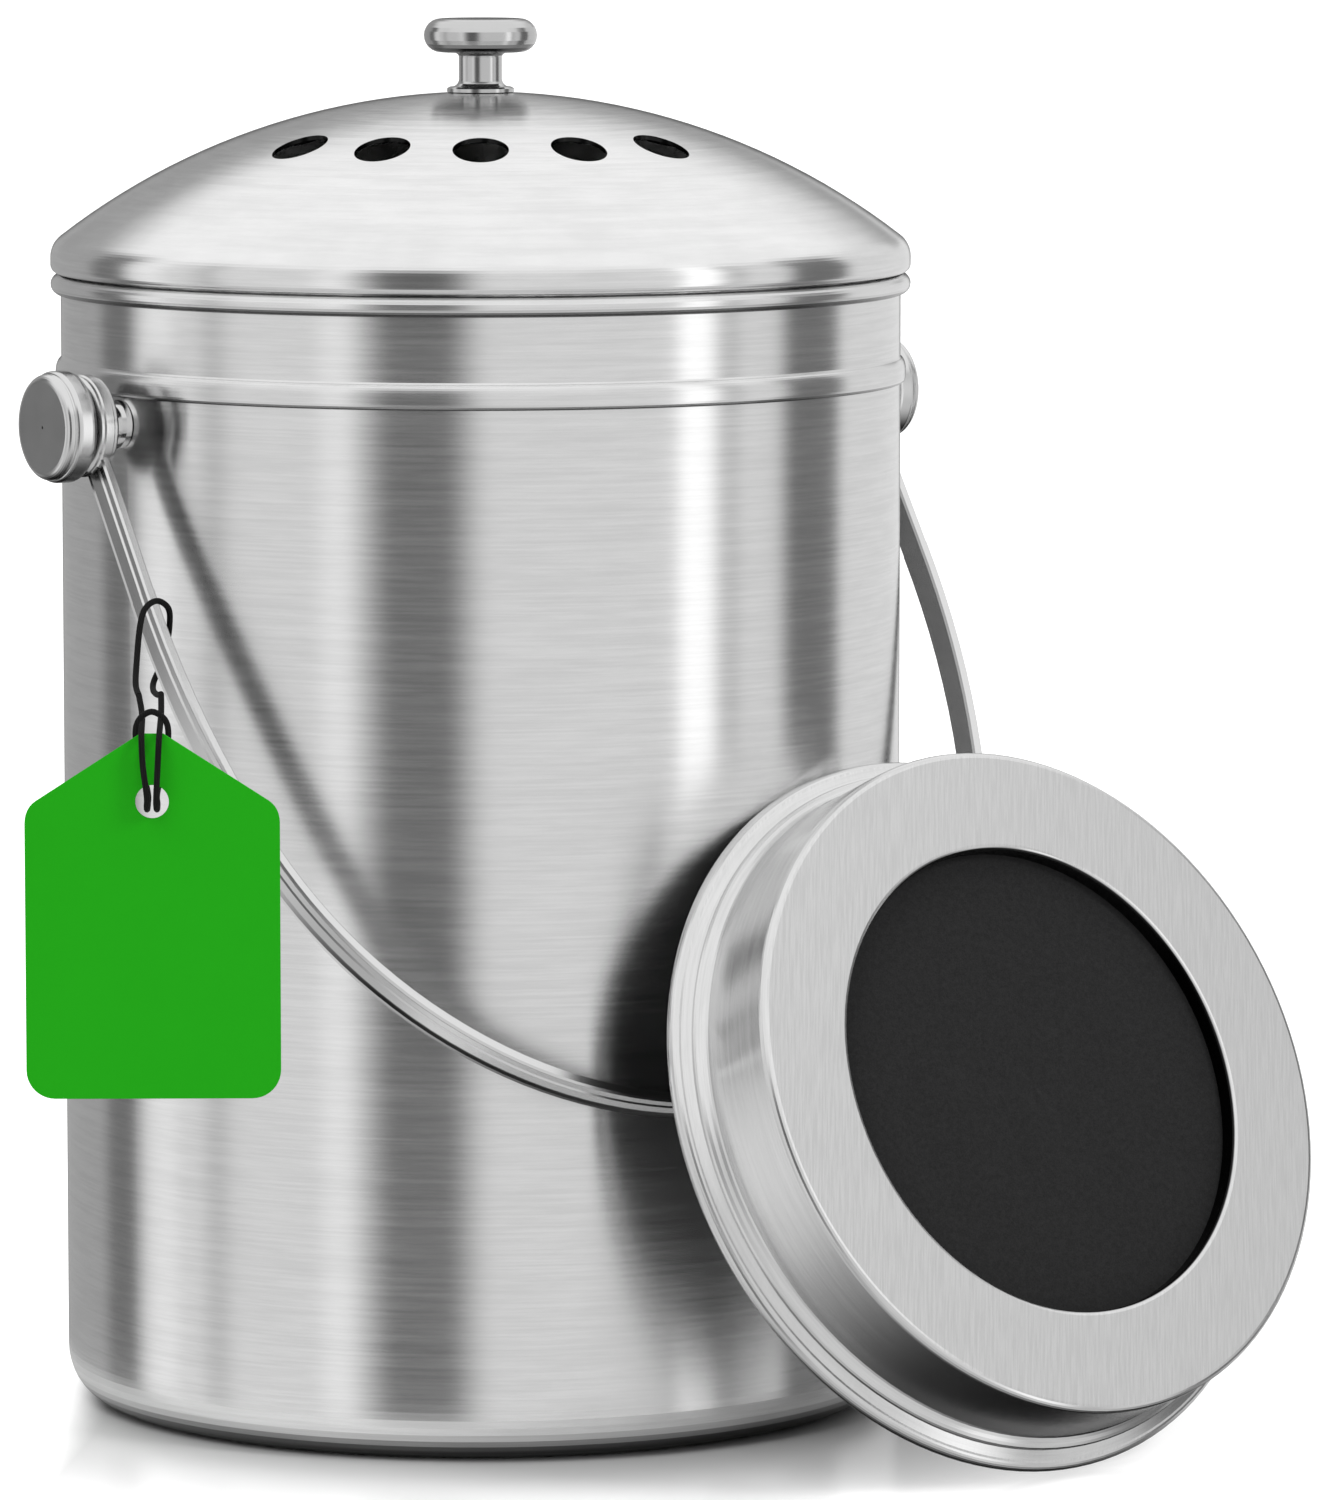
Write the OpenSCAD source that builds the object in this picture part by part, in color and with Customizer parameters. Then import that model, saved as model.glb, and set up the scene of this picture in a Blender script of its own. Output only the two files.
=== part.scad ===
// Compost caddy: a spun steel pail with a lift-off domed lid, a filter cup held up inside the lid,
// a swinging bail with a hang tag, and a spare filter cup that leans against the pail.
// Millimetres. +Z is up, the bail turns about X and hangs at the front, which is -Y.
// The origin is the centre of the pail's base.

/* [Pail] */
// Outer radius of the pail's wall
pail_r = 84; // [76:1:100]
// Height of the rolled rim above the base
pail_h = 226; // [200:1:280]
// Thickness of the spun steel sheet
sheet = 0.8; // [0.5:0.1:1.2]
// How far the base's corner curves in from the wall
corner_in = 8; // [5:0.5:14]
// Height at which the base's corner meets the wall
corner_h = 10; // [6:0.5:18]
// How far the rolled rim stands out from the wall
rim_out = 2; // [1.5:0.1:2.6]
// Height of the rolled rim's section
rim_tall = 4; // [3:0.1:6]
// How far the stiffening ridge stands out from the wall
ridge_out = 1.1; // [0.6:0.1:2]
// Height of the ridge from its sharp lower edge to its soft upper end
ridge_tall = 5; // [4:0.5:9]
// Height of the soft upper curve of the ridge
ridge_soft = 2.6; // [1:0.1:3]
// Drop from the rim's top to the ridge's lower edge
ridge_drop = 21.8; // [19:0.1:23]

/* [Lid] */
// How far the lid stands out past the pail's wall
lid_out = 2; // [2:0.1:3]
// Rise of the dome above its widest level
dome_rise = 32.6; // [24:0.2:44]
// Radius of the dome's shoulder
shoulder_r = 5; // [4:0.5:10]
// Straight drop below the shoulder
skirt_drop = 1.6; // [0.4:0.1:3]
// Radius of the curl at the lid's lower edge
curl_r = 1.5; // [1.2:0.1:2]
// Number of vent holes in each of the two arcs
vent_count = 5; // [3:1:7]
// Angle between neighbouring vent holes
vent_pitch = 22.5; // [18:0.5:25]
// Radius of one vent hole
vent_r = 5.5; // [3:0.1:6]
// Radius of the ring on which the vent holes lie
vent_ring_r = 50; // [42:1:58]
// Turn of the two arcs of vent holes about the lid's axis
vent_turn = 57; // [0:1:179]

/* [Lid knob] */
// Radius of the knob's cap
cap_r = 11.3; // [9:0.1:15]
// Thickness of the knob's cap
cap_t = 6.7; // [4:0.1:8]
// Height of the knob above the dome
knob_h = 14.6; // [13:0.1:22]
// Radius of the knob's stem
stem_r = 4.3; // [3.6:0.1:6]
// Radius of the knob's base flange
knob_base_r = 6.7; // [5.5:0.1:9]
// Radius of the screw that holds the knob
screw_r = 2; // [1.5:0.1:2.6]

/* [Filter cup] */
// How far the cup's rolled edge lies inside the pail's mouth
cup_edge_in = 11.2; // [9:0.1:14]
// How far the cup's wall lies inside its rolled edge
cup_wall_in = 5.5; // [5:0.5:12]
// Depth of the cup from its face to its rolled edge
cup_h = 25; // [20:0.5:34]
// Width of the cup's face between its wall and its round window
face_w = 20; // [12:0.5:32]
// Depth of the hem turned in round the window
hem_h = 3.6; // [2:0.1:6]
// Width of the step from the wall out to the neck
neck_step = 2; // [1:0.1:3]
// Thickness of the charcoal filter
filter_t = 8; // [5:0.5:12]

/* [Bail] */
// Drop from the bail's pivots to the middle of its curve
bail_drop = 157; // [145:1:185]
// Distance from the pail's wall to the middle of the bail's eyes
bail_out = 8; // [7:0.5:20]
// Straight length of each leg
bail_straight = 40; // [30:1:50]
// Angle over which each leg blends into the middle curve
bail_blend = 16; // [10:1:30]
// Width of the bail's strip
strip_w = 6.7; // [5:0.1:9]
// Thickness of the bail's strip at its middle rib
strip_t = 2.2; // [1.8:0.1:3]
// Outer radius of the bail's eyes
eye_r = 10; // [8:0.1:10.8]
// Thickness of the bail's eyes
eye_t = 4.6; // [3:0.1:5.4]
// Drop from the rim's top to the pivot axis
pivot_drop = 27; // [26:0.5:40]

/* [Pivots] */
// Radius of the stud on which an eye turns
stud_r = 4; // [3:0.1:5]
// Radius of the stud's threaded ends
thread_r = 2.5; // [1.5:0.1:2.8]
// Outer radius of the washer between the stud and the wall
washer_r = 4.8; // [4.2:0.1:4.9]
// Thickness of that washer
washer_t = 1.2; // [0.8:0.1:2]
// Radius of the round end knobs
end_knob_r = 10.9; // [10:0.1:14]
// Thickness of the round end knobs
end_knob_t = 6.6; // [6:0.1:9]

/* [Hang tag] */
// Width of the tag
tag_w = 48.5; // [40:0.5:52]
// Height of the tag
tag_h = 70; // [60:0.5:80]
// Thickness of the tag
tag_t = 0.8; // [0.5:0.1:1.5]
// Radius of the tag's lower corners
tag_corner_r = 5.5; // [2:0.5:10]
// Drop from the tag's top to its shoulders
shoulder_drop = 15; // [8:0.5:20]
// Radius of the tag's hole
tag_hole_r = 3.2; // [2.4:0.1:4]
// Drop from the tag's top to the centre of its hole
tag_hole_drop = 13; // [9:0.5:16]
// Diameter of the tag's cord
cord_d = 1.2; // [0.8:0.1:1.4]

/* [Fits] */
// Gap left where one piece rests on another
seat_gap = 0.3; // [0.2:0.05:0.5]
// Radial clearance where a shaft turns or slides in a hole
run_gap = 0.05; // [0.02:0.01:0.1]
// Radial gap between the lid's collar and the pail's mouth
mouth_gap = 0.7; // [0.5:0.1:1]
// Gap between a bail eye and its end knob
eye_gap = 0.6; // [0.4:0.1:1]

/* [Hidden] */
$fn = 96;

// Colours
steel = [0.76, 0.76, 0.77];
bright_steel = [0.86, 0.86, 0.87];
charcoal = [0.12, 0.12, 0.13];
tag_green = [0.13, 0.65, 0.08];
cord_black = [0.05, 0.05, 0.05];

// Heights
pivot_z = pail_h - pivot_drop;
ridge_z = pail_h - ridge_drop;
lid_z = pail_h + seat_gap;
widest_z = lid_z + curl_r + skirt_drop;
apex_z = widest_z + dome_rise;

// Radii
mouth_r = pail_r - sheet;
lid_r = pail_r + lid_out;
cup_edge_r = mouth_r - cup_edge_in;
cup_r = cup_edge_r - cup_wall_in;
window_r = cup_r - face_w;
bail_half = pail_r + bail_out;

// The dome is part of a sphere that runs smoothly into its shoulder.
dome_r = (pow(lid_r - shoulder_r, 2) + pow(dome_rise, 2) - pow(shoulder_r, 2))
       / (2 * (dome_rise - shoulder_r));
dome_centre_z = apex_z - dome_r;
dome_edge_a = asin((lid_r - shoulder_r) / (dome_r - shoulder_r));
lip_w = 1.2;

// The collar hangs from the lid's lip and holds the filter cup by its rolled edge.
collar_r = mouth_r - mouth_gap;
collar_drop = 13;
sleeve_r = cup_edge_r + run_gap;
sleeve_h = 8;
flange_z = lid_z + sheet;
cup_top_z = lid_z - collar_drop + sleeve_h - 2;
cup_z = cup_top_z - cup_h;

// The cup's rolled edge, drawn as an oval.
edge_half_w = 1.6;
edge_half_h = 1.8;
step_z = cup_h - 7;
neck_z = cup_h - 3.6;
filter_r = cup_r - sheet - 1;
filter_gap = 0.1;

// The bail hangs forward until its lowest part meets the wall. Its outline is a straight leg,
// a wide arc over bail_blend and a tighter arc across the middle.
strip_in = strip_t / 2;
drop_in = bail_drop - strip_in;
bail_rest_a = asin((pail_r + seat_gap) / norm([drop_in, strip_w / 2])) + atan(strip_w / 2 / drop_in);
wide_share = sin(bail_blend) - (1 - cos(bail_blend)) * (1 - sin(bail_blend)) / cos(bail_blend);
wide_r = (bail_drop - bail_straight - bail_half / cos(bail_blend) * (1 - sin(bail_blend))) / wide_share;
middle_r = (bail_half - wide_r * (1 - cos(bail_blend))) / cos(bail_blend);

// Places along a pivot, measured from the pail's axis.
washer_x = pail_r + run_gap;
shoulder_x = washer_x + washer_t;
end_knob_x = bail_half + eye_t / 2 + eye_gap;
thread_depth = 4;
nut_t = 3;
nut_r = 4.6;
nut_x = sqrt(pow(mouth_r, 2) - pow(nut_r, 2)) - run_gap;

// Route of the loop of the tag's cord that lies round the bail's left leg, in the frame of the bail
// hanging straight down, from the pivot axis and the leg's middle: up in front of the leg, over it,
// down behind it and out to the left again.
LOOP_ROUTE = [
    [-12.5, -6.9, -63.1], [-10.6, -4.2, -59.3], [-7.9, -2.9, -53.8], [-5.6, -4.3, -47.1],
    [-3.4, -4.8, -43.4], [-0.2, -4.8, -41.9], [2.7, -3.3, -43], [3.6, -0.2, -45.4],
    [3.6, 3.2, -48], [2.3, 5.3, -51], [0.1, 5.7, -53.9], [-2.3, 3.2, -57],
    [-4.9, -1.5, -60.4], [-7.6, -6.9, -63.1]
];

// Route of the rest of the cord from the tag's hole: down to the hole, through it, up behind the
// tag and over its top, down again, back through the hole and up to the loop's other end.
CORD_ROUTE = [
    [1.5, 7.13, 19.51], [0.3, 4, 16.1], [-2.5, -0.4, 12.4], [-2.7, -1.2, 7],
    [-2.3, -1.9, 1.4], [-1.9, -1.2, -0.6], [-0.8, 0.5, -1.5], [0.4, 2.2, -0.6],
    [0.8, 2.9, 1.4], [-0.6, 3, 7], [-1.7, 3.1, 12.2], [-1.2, 2.7, 15.4],
    [0.8, 1.3, 17], [3, 0, 15.4], [3.5, -0.3, 12.2], [3, 0.6, 7],
    [2.3, 1.9, 1.4], [1.9, 1.2, -0.6], [0.8, -0.5, -1.5], [-0.4, -2.2, -0.6],
    [-0.8, -2.9, 1.4], [-0.4, -2.8, 7], [0.2, -2.4, 12.4], [4.1, 3.3, 16.3],
    [6.4, 7.13, 19.51]
];

// The tag hangs below the loop's first end and is turned to face left of the front.
loop_end = LOOP_ROUTE[0];
tag_hole = [loop_end[0] - bail_half,
            loop_end[1] * cos(bail_rest_a) + loop_end[2] * sin(bail_rest_a),
            pivot_z - loop_end[1] * sin(bail_rest_a) + loop_end[2] * cos(bail_rest_a)] - CORD_ROUTE[0];
tag_turn = -33;
// Share of its first and last stretch by which each cord stops short of the other.
end_cut = 0.14;
cord_sides = 8;
loop_rings = 44;
cord_rings = 66;

// The spare cup stands on its rolled edge and leans on the pail's wall, face outward.
spare_x = 44;
spare_turn = 4.5;
spare_lean = 24;

// Points of an arc or an oval stretch from angle a0 to a1, where 0 degrees points outward.
function arc(centre, rx, rz, a0, a1, n = 8) =
    [for (i = [0 : n]) let (a = a0 + (a1 - a0) * i / n) centre + [rx * cos(a), rz * sin(a)]];
function reversed(list) = [for (i = [len(list) - 1 : -1 : 0]) list[i]];

// Outline of the pail's wall, inset by d from its outer face, from the axis up to the ridge's end.
function ridge_line(d) = concat(
    arc([pail_r - d, ridge_z + ridge_out], ridge_out, ridge_out, -90, 0, 4),
    arc([pail_r - d, ridge_z + ridge_tall - ridge_soft], ridge_out, ridge_soft, 0, 80, 7),
    [[pail_r - d, ridge_z + ridge_tall + 0.3]]);
function pail_line(d) = concat(
    [[0, d]],
    arc([pail_r - corner_in, corner_h], corner_in - d, corner_h - d, -90, 0, 10),
    ridge_line(d));

// Outline of the lid, inset by d from its outer face, from its centre hole down to its lip.
function dome_line(d) =
    let (hole_a = asin((screw_r + run_gap) / (dome_r - d)))
    concat(
        arc([0, dome_centre_z], dome_r - d, dome_r - d, 90 - hole_a, 90 - dome_edge_a, 24),
        arc([lid_r - shoulder_r, widest_z], shoulder_r - d, shoulder_r - d, 90 - dome_edge_a, 0, 8),
        arc([lid_r - curl_r, widest_z - skirt_drop], curl_r - d, curl_r - d, 0, -90, 6),
        [[lid_r - curl_r - lip_w, lid_z + d]]);

// Outline of the filter cup, inset by d, from the hem round its window to its neck. z = 0 is its face.
function cup_line(d) =
    let (face_edge = 1.4)
    concat(
        arc([window_r + 1, 1], 1 - d, 1 - d, 180, 270, 4),
        arc([cup_r - face_edge, face_edge], face_edge - d, face_edge - d, -90, 0, 5),
        [[cup_r - d, step_z]],
        [for (s = [1 : 5]) [cup_r - d + neck_step * (1 - cos(36 * s)) / 2, step_z + neck_step * s / 5]],
        [[cup_r + neck_step - d, neck_z]]);

// Section of the bail's strip, grown all round: x runs outward from the bail's middle, y across.
// Its outer side has a raised rib along the middle and a raised line along each edge.
module strip_section(grow = 0) {
    t = strip_t / 2 + grow;
    w = strip_w / 2 + grow;
    step = 0.3;
    half = [[-t, w - 0.4], [0.4 - t, w], [t - 0.5, w], [t - 0.1, w - 0.35], [t - step, w - 0.8],
            [t - step, w * 0.28 + step], [t, w * 0.28]];
    polygon(concat(half, reversed([for (p = half) [p[0], -p[1]]])));
}

// One leg of the bail on the +X side with the wide arc below it, hanging straight down from the
// pivot axis. Each stretch of the bail laps over the one before it and is a hair thicker.
bend_lap = 0.5;
hair = 0.05;
module bail_leg() {
    first_z = stud_r + 2;
    translate([bail_half, 0, -bail_straight])
        linear_extrude(bail_straight - first_z)
            strip_section();
    translate([bail_half - wide_r, 0, -bail_straight])
        rotate([90, 0, 0])
            rotate([0, 0, -bail_blend])
                rotate_extrude(angle = bail_blend + bend_lap)
                    translate([wide_r, 0])
                        strip_section(hair);
}

// The middle curve of the bail, which laps over both wide arcs.
module bail_middle() {
    span = 180 - 2 * bail_blend + 4 * bend_lap;
    translate([0, 0, middle_r - bail_drop])
        rotate([90, 0, 0])
            rotate([0, 0, -90 - span / 2])
                rotate_extrude(angle = span)
                    translate([middle_r, 0])
                        strip_section(2 * hair);
}

// One eye of the bail on the +X side, with a raised band round its edge.
module bail_eye() {
    edge = 0.6;
    band = 0.3;
    translate([bail_half - eye_t / 2, 0, 0])
        rotate([90, 0, 90])
            rotate_extrude()
                polygon([[stud_r + run_gap, 0], [eye_r - edge - band, 0], [eye_r - band, edge],
                         [eye_r - band, eye_t * 0.25], [eye_r, eye_t * 0.25 + band],
                         [eye_r, eye_t * 0.75 - band], [eye_r - band, eye_t * 0.75],
                         [eye_r - band, eye_t - edge], [eye_r - edge - band, eye_t],
                         [stud_r + run_gap, eye_t]]);
}

// Turns a piece drawn along +X at the pivot axis to the left or right side.
module at_pivot(side) {
    translate([0, 0, pivot_z])
        mirror([side < 0 ? 1 : 0, 0, 0])
            children();
}

// A round piece drawn along +X.
module along_x(from, to, r) {
    translate([from, 0, 0])
        rotate([0, 90, 0])
            cylinder(h = to - from, r = r);
}

// A point of the spare cup's rolled edge, seen from the centre of the cup's face, at angle a.
edge_ring_r = cup_edge_r - edge_half_w;
edge_ring_z = cup_h - edge_half_h;
function edge_point(a) =
    let (across = edge_ring_r * cos(a),
         back = edge_ring_z * cos(spare_lean) - edge_ring_r * sin(a) * sin(spare_lean))
    [across * cos(spare_turn) - back * sin(spare_turn), across * sin(spare_turn) + back * cos(spare_turn)];

// The spare cup is set back until its rolled edge meets the wall.
spare_reach = pail_r + edge_half_h + seat_gap;
spare_z = edge_ring_r * cos(spare_lean) + edge_ring_z * sin(spare_lean) + edge_half_h;
spare_y = min([for (a = [0 : 3 : 357])
    let (p = edge_point(a), x = spare_x + p[0])
    if (abs(x) < spare_reach) -sqrt(pow(spare_reach, 2) - pow(x, 2)) - p[1]]);

module lay_spare() {
    translate([spare_x, spare_y, spare_z])
        rotate([-90 - spare_lean, 0, spare_turn])
            children();
}

module pail_shell() {
    hole_r = thread_r + run_gap;
    color(steel)
        difference() {
            rotate_extrude($fn = 180)
                polygon(concat(
                    pail_line(0),
                    arc([pail_r, pail_h - rim_tall / 2], rim_out, rim_tall / 2, -90, 90, 12),
                    arc([pail_r, pail_h - sheet], sheet, sheet, 100, 180, 4),
                    reversed(pail_line(sheet))));
            translate([0, 0, pivot_z])
                rotate([0, 90, 0])
                    cylinder(h = 2 * pail_r + 2 * rim_out, r = hole_r, center = true);
        }
}

module lid_dome() {
    color(steel)
        difference() {
            rotate_extrude($fn = 180)
                polygon(concat(dome_line(0), reversed(dome_line(sheet))));
            for (side = [0, 180], i = [0 : vent_count - 1])
                rotate([0, 0, vent_turn + side + (i - (vent_count - 1) / 2) * vent_pitch])
                    translate([vent_ring_r, 0, widest_z])
                        cylinder(h = dome_rise, r = vent_r);
        }
}

module lid_collar() {
    floor_z = lid_z - collar_drop;
    bend = 1.6;
    color(steel)
        rotate_extrude()
            polygon(concat(
                [[lid_r - sheet - curl_r, flange_z + sheet], [lid_r - sheet - curl_r, flange_z],
                 [collar_r, flange_z]],
                arc([collar_r - bend, floor_z + bend], bend, bend, 0, -90, 5),
                arc([sleeve_r + bend, floor_z + bend], bend, bend, -90, -180, 5),
                [[sleeve_r, floor_z + sleeve_h], [sleeve_r + sheet, floor_z + sleeve_h]],
                arc([sleeve_r + bend, floor_z + bend], bend - sheet, bend - sheet, -180, -90, 5),
                arc([collar_r - bend, floor_z + bend], bend - sheet, bend - sheet, -90, 0, 5),
                [[collar_r - sheet, flange_z + sheet]]));
}

// Profile of the lid knob, solid, from its base flange to its flat top.
function knob_line() =
    let (flare = 1.6, side_r = cap_t / 2)
    concat(
        [[0, 0], [knob_base_r, 0], [knob_base_r, 0.7], [knob_base_r - 0.5, 1], [stem_r + flare, 1]],
        arc([stem_r + flare, 1 + flare], flare, flare, 270, 180, 5),
        arc([stem_r + flare, knob_h - cap_t - flare * 0.6], flare, flare * 0.6, 180, 90, 5),
        arc([cap_r - side_r, knob_h - side_r], side_r, side_r, -90, 90, 12),
        [[0, knob_h]]);

module lid_knob() {
    color(bright_steel)
        translate([0, 0, apex_z])
            difference() {
                rotate_extrude()
                    polygon(knob_line());
                translate([0, 0, -1])
                    cylinder(h = knob_h - cap_t + 1, r = screw_r + run_gap);
            }
}

// Under side of the dome where the washer's edge meets it.
knob_washer_r = 7;
knob_washer_t = 0.8;
washer_top_z = dome_centre_z + sqrt(pow(dome_r - sheet, 2) - pow(knob_washer_r, 2)) - run_gap;

module knob_washer() {
    color(bright_steel)
        translate([0, 0, washer_top_z - knob_washer_t])
            difference() {
                cylinder(h = knob_washer_t, r = knob_washer_r);
                translate([0, 0, -1])
                    cylinder(h = knob_washer_t + 2, r = screw_r + run_gap);
            }
}

module knob_screw() {
    head_r = 1.9 * screw_r;
    head_t = 2.4;
    slot_w = 1;
    under_z = washer_top_z - knob_washer_t;
    color(bright_steel)
        difference() {
            union() {
                translate([0, 0, under_z - head_t])
                    rotate_extrude()
                        polygon(concat(arc([0, 1.2], head_r, 1.2, -90, 0, 6), [[head_r, head_t], [0, head_t]]));
                translate([0, 0, under_z - 0.1])
                    cylinder(h = apex_z + knob_h - cap_t - 1 - under_z, r = screw_r);
            }
            translate([-head_r - 1, -slot_w / 2, under_z - head_t - 1])
                cube([2 * head_r + 2, slot_w, 2]);
        }
}

// The filter cup with its face at z = 0 and its rolled edge on top.
module cup_body() {
    rotate_extrude($fn = 180)
        union() {
            polygon(concat(
                [[window_r + sheet, hem_h], [window_r, hem_h]],
                cup_line(0),
                [[cup_r + neck_step - sheet, neck_z]],
                reversed(cup_line(sheet))));
            polygon(concat(
                [[cup_r + neck_step - sheet, neck_z - sheet]],
                [[cup_r + neck_step, neck_z - sheet], [cup_edge_r - edge_half_w, cup_h - 2 * edge_half_h]],
                [[cup_edge_r - edge_half_w, cup_h - edge_half_h], [cup_r + neck_step - sheet, neck_z + sheet]]));
            polygon(arc([cup_edge_r - edge_half_w, cup_h - edge_half_h], edge_half_w, edge_half_h, 0, 345, 23));
        }
}

// The pad with its lower edge softly rounded, lying on the hem round the window.
module filter_body() {
    soft = 1.5;
    translate([0, 0, hem_h + filter_gap])
        rotate_extrude()
            polygon(concat(
                [[0, 0]],
                arc([filter_r - soft, soft], soft, soft, -90, 0, 4),
                arc([filter_r - soft, filter_t - soft], soft, soft, 0, 90, 4),
                [[0, filter_t]]));
}

module filter_cup() {
    color(steel)
        translate([0, 0, cup_z])
            cup_body();
}

module charcoal_filter() {
    color(charcoal)
        translate([0, 0, cup_z])
            filter_body();
}

module spare_filter_cup() {
    color(steel)
        lay_spare()
            cup_body();
}

module spare_charcoal_filter() {
    color(charcoal)
        lay_spare()
            filter_body();
}

module bail_handle() {
    color(bright_steel)
        translate([0, 0, pivot_z])
            rotate([-bail_rest_a, 0, 0])
                difference() {
                    union() {
                        for (side = [0, 1])
                            mirror([side, 0, 0]) {
                                bail_leg();
                                bail_eye();
                            }
                        bail_middle();
                    }
                    rotate([0, 90, 0])
                        cylinder(h = 3 * bail_half, r = stud_r + run_gap, center = true);
                }
}

module wall_washer(side) {
    color(bright_steel)
        at_pivot(side)
            difference() {
                along_x(washer_x, shoulder_x, washer_r);
                along_x(washer_x - 1, shoulder_x + 1, thread_r + run_gap);
            }
}

module pivot_stud(side) {
    color(bright_steel)
        at_pivot(side)
            union() {
                along_x(nut_x - nut_t - 1, end_knob_x + thread_depth, thread_r);
                along_x(shoulder_x, end_knob_x, stud_r);
            }
}

module pivot_nut(side) {
    color(bright_steel)
        at_pivot(side)
            difference() {
                translate([nut_x - nut_t, 0, 0])
                    rotate([0, 90, 0])
                        cylinder(h = nut_t, r = nut_r, $fn = 6);
                along_x(nut_x - nut_t - 1, nut_x + 1, thread_r + run_gap);
            }
}

// Profile of an end knob from its back to its flat face: a broad rounded band, a groove and a
// smaller rounded edge round the face.
function end_knob_line() =
    let (back_in = 1.5, back_t = 1.6, groove_t = end_knob_t - 1.9, face_in = 2.1, edge_t = 1.4)
    concat(
        [[0, 0], [end_knob_r - back_in, 0]],
        arc([end_knob_r - back_in, back_t], back_in, back_t, -90, 0, 6),
        arc([end_knob_r - 0.6, groove_t - 1], 0.6, 1, 0, 90, 4),
        [[end_knob_r - 0.75, groove_t + 0.25]],
        arc([end_knob_r - face_in, end_knob_t - edge_t], face_in - 0.55, edge_t, 0, 90, 6),
        [[0, end_knob_t]]);

module pivot_knob(side) {
    color(bright_steel)
        at_pivot(side)
            difference() {
                translate([end_knob_x, 0, 0])
                    rotate([90, 0, 90])
                        rotate_extrude()
                            polygon(end_knob_line());
                along_x(end_knob_x - 1, end_knob_x + thread_depth + run_gap, thread_r + run_gap);
            }
}

// Outline of the tag with its hole at the origin.
function tag_outline() =
    let (top = tag_hole_drop, half_w = tag_w / 2, flat = 2.2, chamfer = 2.2,
         low = tag_hole_drop - tag_h, shoulder = tag_hole_drop - shoulder_drop)
    concat(
        [[-flat, top], [-half_w + chamfer, shoulder + chamfer], [-half_w, shoulder - chamfer]],
        arc([-half_w + tag_corner_r, low + tag_corner_r], tag_corner_r, tag_corner_r, 180, 270, 6),
        arc([half_w - tag_corner_r, low + tag_corner_r], tag_corner_r, tag_corner_r, -90, 0, 6),
        [[half_w, shoulder - chamfer], [half_w - chamfer, shoulder + chamfer], [flat, top]]);

module hang_tag() {
    color(tag_green)
        translate(tag_hole)
            rotate([90, 0, tag_turn])
                translate([0, 0, -tag_t / 2])
                    linear_extrude(tag_t)
                        difference() {
                            polygon(tag_outline());
                            circle(r = tag_hole_r);
                        }
}

// A point of the smooth curve through the route, s counted in route points.
function route_at(p, s) =
    let (last = len(p) - 1, i = min(floor(s), last - 1), t = s - i,
         a = p[max(i - 1, 0)], b = p[i], c = p[i + 1], d = p[min(i + 2, last)])
    0.5 * ((2 * b) + (c - a) * t + (2 * a - 5 * b + 4 * c - d) * t * t + (3 * b - a - 3 * c + d) * t * t * t);
function cross_dir(v) =
    let (side = abs(v[0]) < 0.9 ? [1, 0, 0] : [0, 1, 0], w = cross(v, side))
    w / norm(w);

// A closed tube along the route, with its rings kept from twisting.
module tube(route, d, sides, rings) {
    last = len(route) - 1;
    at = [for (k = [0 : rings]) route_at(route, end_cut + (last - 2 * end_cut) * k / rings)];
    ahead = [for (k = [0 : rings])
        let (v = at[min(k + 1, rings)] - at[max(k - 1, 0)]) v / norm(v)];
    across = [for (k = 0, u = cross_dir(ahead[0]); k <= rings; k = k + 1,
        u = k <= rings ? let (w = u - (u * ahead[k]) * ahead[k]) w / norm(w) : u) u];
    points = [for (k = [0 : rings], j = [0 : sides - 1])
        let (a = 360 * j / sides)
        at[k] + d / 2 * (cos(a) * across[k] + sin(a) * cross(ahead[k], across[k]))];
    walls = [for (k = [0 : rings - 1], j = [0 : sides - 1])
        let (n = (j + 1) % sides)
        [k * sides + j, k * sides + n, (k + 1) * sides + n, (k + 1) * sides + j]];
    start = [for (j = [0 : sides - 1]) sides - 1 - j];
    end = [for (j = [0 : sides - 1]) rings * sides + j];
    polyhedron(points = points, faces = concat([reversed(start)], [for (w = walls) reversed(w)], [reversed(end)]));
}

module tag_loop() {
    color(cord_black)
        translate([0, 0, pivot_z])
            rotate([-bail_rest_a, 0, 0])
                translate([-bail_half, 0, 0])
                    tube(LOOP_ROUTE, cord_d, cord_sides, loop_rings);
}

module tag_cord() {
    color(cord_black)
        translate(tag_hole)
            tube(CORD_ROUTE, cord_d, cord_sides, cord_rings);
}

pail_shell();
lid_dome();
lid_collar();
lid_knob();
knob_washer();
knob_screw();
filter_cup();
charcoal_filter();
bail_handle();
wall_washer(-1);  // wall_washer_left
wall_washer(1);  // wall_washer_right
pivot_stud(-1);  // pivot_stud_left
pivot_stud(1);  // pivot_stud_right
pivot_knob(-1);  // pivot_knob_left
pivot_knob(1);  // pivot_knob_right
pivot_nut(-1);  // pivot_nut_left
pivot_nut(1);  // pivot_nut_right
spare_filter_cup();
spare_charcoal_filter();
hang_tag();
tag_loop();
tag_cord();
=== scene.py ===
"""Looks of the compost caddy: brushed and polished steel, carbon pads, the card tag and its cord."""

import math

import bmesh
import bpy
from mathutils import Euler, Matrix, Vector


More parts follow.
